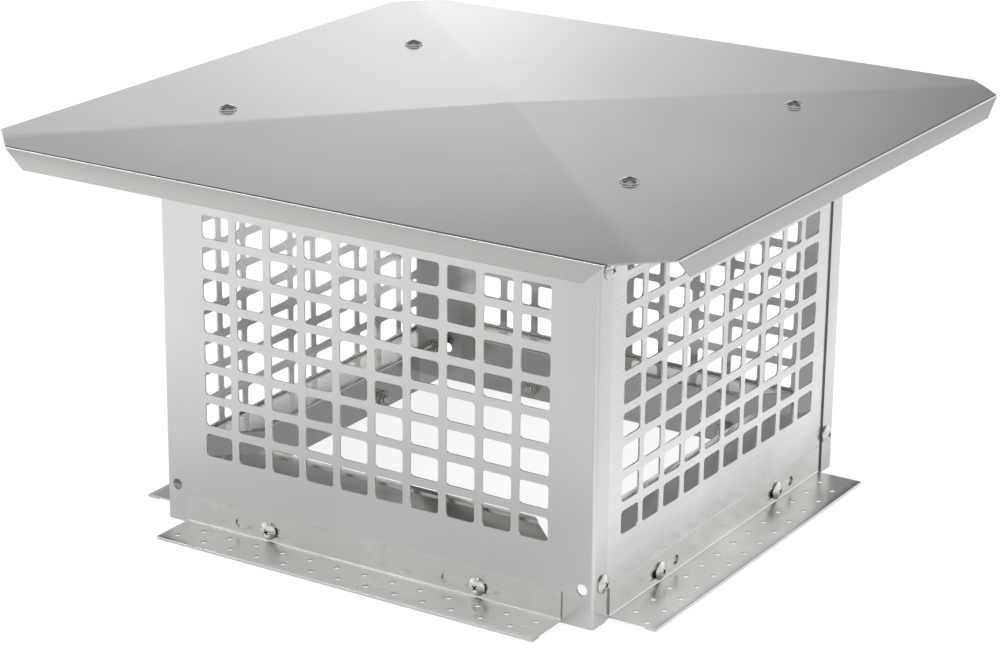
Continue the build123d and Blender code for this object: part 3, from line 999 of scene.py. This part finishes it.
channel_wall("front_wall", ["front_panel", "front_returns"], 0.0, FRONT_METAL)
channel_wall("back_wall", ["back_panel", "back_returns"], 180.0, BACK_METAL)
flat_wall("right_wall", ["right_panel", "right_top_flange"], 0.0)
flat_wall("left_wall", ["left_panel", "left_top_flange"], 180.0)
lid_piece()
front_low, front_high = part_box("front_base_flange")
front_shift = (front_low.x + front_high.x) / 2
flange_strip("front_foot", "front_base_flange", FRONT_FACE, 0.0, front_shift, FRONT_HOLE_SHIFT)
flange_strip("right_foot", "right_base_flange", SIDE_FACE, 90.0)
flange_strip("back_foot", "back_base_flange", FRONT_FACE, 180.0)
flange_strip("left_foot", "left_base_flange", SIDE_FACE, -90.0)
ledge_strip("front_shelf", "front_ledge", FRONT_FACE - SHEET, 0.0, LEDGE_METAL)
ledge_strip("right_shelf", "right_ledge", SIDE_FACE - SHEET, 90.0, PAINTED_LIGHT_LEDGE_METAL)
ledge_strip("back_shelf", "back_ledge", FRONT_FACE - SHEET, 180.0, LEDGE_METAL)
ledge_strip("left_shelf", "left_ledge", SIDE_FACE - SHEET, -90.0, LEDGE_METAL)
fasteners()


# Stage

def curve_output(nodes, links, value, stops):
    """Output of a curve with straight runs between its stops, both of which go from zero to one."""
    curve = nodes.new("ShaderNodeFloatCurve")
    mapping = curve.mapping
    mapping.extend = "HORIZONTAL"
    spots = mapping.curves[0].points
    spots[0].location = stops[0]
    spots[1].location = stops[-1]
    for stop in stops[1:-1]:
        spots.new(*stop)
    for spot in spots:
        spot.handle_type = "VECTOR"
    mapping.update()
    links.new(value, curve.inputs["Value"])
    return curve.outputs["Value"]


def white_floor():
    """White paper that the camera sees as the background, and the metal mirrors at strengths of its own: a glow that
    changes along x, painted light for the walls' reflections.
    """
    corners = [(x * FLOOR_REACH, y * FLOOR_REACH, 0) for x, y in ((-1, -1), (1, -1), (1, 1), (-1, 1))]
    floor = add_object("floor", new_mesh("floor", corners, [(0, 1, 2, 3)]))
    floor.location.z = -FLOOR_DROP
    material = bpy.data.materials.new("floor_paper")
    material.use_nodes = True
    nodes, links = material.node_tree.nodes, material.node_tree.links
    paper = nodes["Principled BSDF"]
    paper.inputs["Base Color"].default_value = (FLOOR_SHADE, FLOOR_SHADE, FLOOR_SHADE, 1.0)
    paper.inputs["Roughness"].default_value = 1.0
    paper.inputs["Specular IOR Level"].default_value = 0.0
    ray = nodes.new("ShaderNodeLightPath")

    def glowing(base, glow):
        lit = nodes.new("ShaderNodeBsdfDiffuse")
        lit.inputs["Color"].default_value = (base, base, base, 1.0)
        white = nodes.new("ShaderNodeEmission")
        feed(links, glow, white.inputs["Strength"])
        both = nodes.new("ShaderNodeAddShader")
        links.new(lit.outputs["BSDF"], both.inputs[0])
        links.new(white.outputs["Emission"], both.inputs[1])
        return both.outputs["Shader"]

    def choose(switch, no, yes):
        mix = nodes.new("ShaderNodeMixShader")
        links.new(ray.outputs[switch], mix.inputs["Fac"])
        links.new(no, mix.inputs[1])
        links.new(yes, mix.inputs[2])
        return mix.outputs["Shader"]

    place = nodes.new("ShaderNodeTexCoord")
    split = nodes.new("ShaderNodeSeparateXYZ")
    links.new(place.outputs["Object"], split.inputs["Vector"])
    span = nodes.new("ShaderNodeMapRange")
    span.inputs["From Min"].default_value = -FLOOR_GLOW_REACH
    span.inputs["From Max"].default_value = FLOOR_GLOW_REACH
    links.new(split.outputs["X"], span.inputs["Value"])
    stops = [(0.5 + 0.5 * x / FLOOR_GLOW_REACH, glow) for x, glow in FLOOR_MIRRORED_GLOW_BY_X]
    glow = curve_output(nodes, links, span.outputs["Result"], stops)
    mirrored = choose("Is Glossy Ray", paper.outputs["BSDF"], glowing(FLOOR_MIRRORED_BASE, glow))
    seen = choose("Is Camera Ray", mirrored, glowing(FLOOR_SEEN_BASE, FLOOR_SEEN_GLOW))
    links.new(seen, nodes["Material Output"].inputs["Surface"])
    floor.data.materials.append(material)


def studio_world():
    """A bright backdrop behind the cap that fades upwards and to both sides, in a room that is dark overhead.

    The curves only reach from zero to one, so strengths are halved in them and doubled again at the end.
    """
    world = bpy.data.worlds.new("studio")
    bpy.context.scene.world = world
    world.use_nodes = True
    nodes, links = world.node_tree.nodes, world.node_tree.links
    place = nodes.new("ShaderNodeTexCoord").outputs["Generated"]

    def along(direction):
        """Half of one, plus half the sine of the angle towards a direction."""
        dot = nodes.new("ShaderNodeVectorMath")
        dot.operation = "DOT_PRODUCT"
        dot.inputs[1].default_value = direction
        links.new(place, dot.inputs[0])
        return calculated(nodes, links, "MULTIPLY_ADD", dot.outputs["Value"], 0.5, 0.5)

    def level(value, stops):
        """Half the strength at an angle, from half of one plus half its sine."""
        halves = [(0.5 + 0.5 * math.sin(math.radians(angle)), strength / 2) for angle, strength in stops]
        return curve_output(nodes, links, value, halves)

    def twice(half):
        return calculated(nodes, links, "MULTIPLY", half, 2.0)

    def times(a, b):
        """Half the product of two strengths, from their halves."""
        return twice(calculated(nodes, links, "MULTIPLY", a, b))

    azimuth = math.radians(BACKDROP_AZIMUTH)
    upward = along((0.0, 0.0, 1.0))
    sideways = along((math.cos(azimuth), math.sin(azimuth), 0.0))
    behind = along((-math.sin(azimuth), math.cos(azimuth), 0.0))
    low = times(level(upward, LOW_BACKDROP_BY_HEIGHT), level(sideways, LOW_BACKDROP_BY_SIDE))
    high = times(level(upward, HIGH_BACKDROP_BY_HEIGHT), level(sideways, HIGH_BACKDROP_BY_SIDE))
    room = times(level(upward, ROOM_BY_HEIGHT), level(behind, ROOM_BY_DEPTH))
    choice = nodes.new("ShaderNodeMix")
    links.new(twice(level(behind, BACKDROP_SHARE)), choice.inputs["Factor"])
    links.new(room, choice.inputs["A"])
    links.new(calculated(nodes, links, "ADD", low, high), choice.inputs["B"])
    back = nodes["Background"]
    links.new(twice(choice.outputs["Result"]), back.inputs["Strength"])
    back.inputs["Color"].default_value = (1.0, 1.0, 1.0, 1.0)


def soft_lamp(name, place, target, size, power, mirrored):
    light = bpy.data.lights.new(name, "AREA")
    light.shape = "RECTANGLE"
    light.size, light.size_y = size
    light.energy = power
    lamp = add_object(name, light)
    lamp.visible_glossy = mirrored
    lamp.location = place
    lamp.rotation_euler = (Vector(target) - Vector(place)).to_track_quat("-Z", "Y").to_euler()


def photo_camera():
    azimuth, elevation = math.radians(CAMERA_AZIMUTH), math.radians(CAMERA_ELEVATION)
    level = math.cos(elevation)
    ahead = Vector((-math.sin(azimuth) * level, math.cos(azimuth) * level, -math.sin(elevation)))
    right = ahead.cross(Vector((0, 0, 1))).normalized()
    right = (Matrix.Rotation(math.radians(-CAMERA_ROLL), 3, ahead) @ right).normalized()
    turn = Matrix((right, right.cross(ahead), -ahead)).transposed()
    camera = bpy.data.cameras.new("camera")
    camera.lens = CAMERA_LENS
    camera.sensor_width = SENSOR_WIDTH
    camera.sensor_fit = "HORIZONTAL"
    eye = add_object("camera", camera)
    eye.matrix_world = Matrix.Translation(CAMERA_PLACE) @ turn.to_4x4()
    bpy.context.scene.camera = eye


white_floor()
studio_world()
for lamp in LAMPS:
    soft_lamp(*lamp)
photo_camera()
bpy.context.scene.view_settings.view_transform = "Standard"
